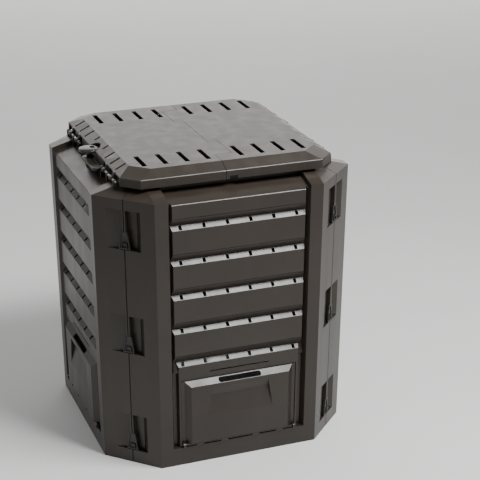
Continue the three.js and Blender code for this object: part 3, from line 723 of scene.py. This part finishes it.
class BIN_OT_model_clips(bpy.types.Operator):
    """Model the wedge clips: a flared channel with raised cheeks and a finger grip"""
    bl_idname = "compost_bin.model_clips"
    bl_label = "Model clips"

    def execute(self, context):
        clip = context.scene.bin_clip
        for level in LEVELS:
            low, high = (Vector(corner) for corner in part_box(f"clip_front_left_{level}"))
            first = self.clip(clip, low, high, f"corner_clip_front_left_{level}")
            finish_piece(first, "fitting", "bin", "trim", f"clip_front_left_{level}")
            for corner, piece in turned_copies(first, "corner_clip", f"_{level}"):
                finish_piece(piece, "fitting", "bin", "trim", f"clip_{corner}_{level}")
        return {"FINISHED"}

    def clip(self, clip, low, high, name):
        """One clip, drawn facing -Y and then turned onto the front left corner."""
        height = high.z - low.z
        foot, top = clip.foot_width / 2, clip.top_width / 2
        piece = add_block(name, (-foot, 0, low.z), (foot, clip.depth, high.z))
        with editing(piece, "FACE", lambda spot, normal: normal.z > FACING):
            bpy.ops.transform.resize(value=(top / foot, 1, 1), center_override=(0, 0, high.z))
        slot = add_block("slot", (-clip.slot_width / 2, clip.skin, low.z - height),
                         (clip.slot_width / 2, clip.depth * 2, high.z + height))
        combine(piece, slot, "DIFFERENCE")
        with editing(piece, "FACE", lambda spot, normal: normal.y < -FACING):
            bpy.ops.mesh.inset(thickness=clip.cheek)
            bpy.ops.mesh.extrude_region_move(TRANSFORM_OT_translate={"value": (0, clip.sink, 0)})
        grip_low = (-foot * GRIP_WIDTH, -clip.sink, low.z + height * GRIP_FOOT)
        grip_high = (foot * GRIP_WIDTH, clip.skin, low.z + height * GRIP_TOP)
        grip = add_block("grip", grip_low, grip_high)
        with editing(grip, "FACE", lambda spot, normal: normal.y < -FACING):
            bpy.ops.mesh.inset(thickness=clip.cheek * GRIP_RIM)
            bpy.ops.mesh.extrude_region_move(TRANSFORM_OT_translate={"value": (0, clip.skin, 0)})
        combine(piece, grip, "UNION")
        soften(piece, CLIP_SOFT, 2)
        half_run = foot * DIAGONAL
        piece.rotation_euler.z = -pi / 4
        piece.location = (low.x + half_run, low.y + half_run, 0)
        return settle(piece, name)


class BIN_OT_model_seam_tongues(bpy.types.Operator):
    """Model the tongue behind each corner seam, where one wall's rib hooks behind the next"""
    bl_idname = "compost_bin.model_seam_tongues"
    bl_label = "Model seam tongues"

    def execute(self, context):
        clip = context.scene.bin_clip
        lower = self.seam_point(clip, "bottom")
        upper = self.seam_point(clip, "top")
        lean = (upper.xy - lower.xy) / (upper.z - lower.z)
        foot = lower.xy - lean * lower.z
        height = upper.z + clip.tongue_rise
        half = clip.tongue_width / 2
        first = add_block("tongue", (-half, clip.tongue_place, clip.tongue_gap),
                          (half, clip.tongue_place + clip.tongue_depth, height))
        with editing(first, "FACE", lambda spot, normal: abs(normal.y) > FACING):
            bpy.ops.mesh.inset(thickness=half * TONGUE_RIM, depth=-clip.tongue_depth * TONGUE_SINK)
        soften(first, TONGUE_SOFT, 2)
        first.rotation_euler.z = -pi / 4
        first.location = (foot.x, foot.y, 0)
        settle(first, "seam_tongue_front_left")
        for vertex in first.data.vertices:
            vertex.co.xy += lean * vertex.co.z
        finish_piece(first, "wall", "bin", "shell")
        for _, piece in turned_copies(first, "seam_tongue"):
            finish_piece(piece, "wall", "bin", "shell")
        return {"FINISHED"}

    def seam_point(self, clip, level):
        """Where the front left seam meets the wing's outer plane at the foot of a clip."""
        low, _ = (Vector(corner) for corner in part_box(f"clip_front_left_{level}"))
        half_run = clip.foot_width / 2 * DIAGONAL
        return Vector((low.x + half_run, low.y + half_run, low.z))


def area_light(name, place, aim, size, power, colour):
    """A soft rectangular light pointed at a spot."""
    data = bpy.data.lights.new(name, "AREA")
    data.shape = "RECTANGLE"
    data.size, data.size_y = size
    data.energy = power
    data.color = colour
    lamp = bpy.data.objects.new(name, data)
    bpy.context.scene.collection.objects.link(lamp)
    lamp.location = place
    lamp.rotation_euler = (Vector(aim) - Vector(place)).to_track_quat("-Z", "Y").to_euler()


class BIN_OT_build_stage(bpy.types.Operator):
    """Set the floor, soft lights and camera"""
    bl_idname = "compost_bin.build_stage"
    bl_label = "Build stage"

    def execute(self, context):
        stage = context.scene.bin_stage
        bpy.ops.object.select_all(action="DESELECT")
        bpy.ops.mesh.primitive_plane_add(size=FLOOR_SIZE, location=(0, 0, 0))
        floor = context.object
        floor.name = "studio_floor"
        floor.data.materials.append(pale_floor("floor_pale"))
        for name, place, aim, size, power, colour in LIGHTS:
            area_light(name, place, aim, size, getattr(stage, power), colour)
        world = bpy.data.worlds.new("studio_air")
        context.scene.world = world
        world.use_nodes = True
        backdrop = world.node_tree.nodes["Background"]
        backdrop.inputs["Color"].default_value = AIR_COLOUR
        backdrop.inputs["Strength"].default_value = stage.sky_strength
        data = bpy.data.cameras.new("studio_camera")
        data.sensor_width = SENSOR_WIDTH
        data.lens = stage.lens
        camera = bpy.data.objects.new("studio_camera", data)
        context.scene.collection.objects.link(camera)
        target = Vector(stage.target)
        outwards = Vector((-sin(stage.azimuth) * cos(stage.elevation),
                           -cos(stage.azimuth) * cos(stage.elevation), sin(stage.elevation)))
        camera.location = target + stage.distance * outwards
        camera.rotation_euler = (-outwards).to_track_quat("-Z", "Y").to_euler()
        context.scene.camera = camera
        return {"FINISHED"}


# ---------------------------------------------------------------- panel and start

OPERATORS = (
    BIN_OT_finish_walls, BIN_OT_finish_hatches, BIN_OT_finish_lid, BIN_OT_model_clips,
    BIN_OT_model_seam_tongues, BIN_OT_model_rods, BIN_OT_model_lock, BIN_OT_build_stage,
)


class BIN_PT_sidebar(bpy.types.Panel):
    """Compost bin tools"""
    bl_idname = "BIN_PT_sidebar"
    bl_label = "Compost bin"
    bl_space_type = "VIEW_3D"
    bl_region_type = "UI"
    bl_category = "Compost Bin"

    def draw(self, context):
        column = self.layout.column()
        scene = context.scene
        for settings in (scene.bin_plastic, scene.bin_clip, scene.bin_lock, scene.bin_stage):
            for name in settings.__annotations__:
                column.prop(settings, name)
        for operator in OPERATORS:
            column.operator(operator.bl_idname)


CLASSES = (
    BinPlasticSettings, BinClipSettings, BinLockSettings, BinStageSettings,
    *OPERATORS, BIN_PT_sidebar,
)


def register():
    for cls in CLASSES:
        bpy.utils.register_class(cls)
    bpy.types.Scene.bin_plastic = PointerProperty(type=BinPlasticSettings)
    bpy.types.Scene.bin_clip = PointerProperty(type=BinClipSettings)
    bpy.types.Scene.bin_lock = PointerProperty(type=BinLockSettings)
    bpy.types.Scene.bin_stage = PointerProperty(type=BinStageSettings)


def unregister():
    del bpy.types.Scene.bin_stage
    del bpy.types.Scene.bin_lock
    del bpy.types.Scene.bin_clip
    del bpy.types.Scene.bin_plastic
    for cls in reversed(CLASSES):
        bpy.utils.unregister_class(cls)


def main():
    register()
    bpy.ops.compost_bin.finish_walls()
    bpy.ops.compost_bin.finish_hatches()
    bpy.ops.compost_bin.finish_lid()
    bpy.ops.compost_bin.model_clips()
    bpy.ops.compost_bin.model_seam_tongues()
    bpy.ops.compost_bin.model_rods()
    bpy.ops.compost_bin.model_lock()
    bpy.ops.compost_bin.build_stage()


if __name__ == "__main__":
    main()
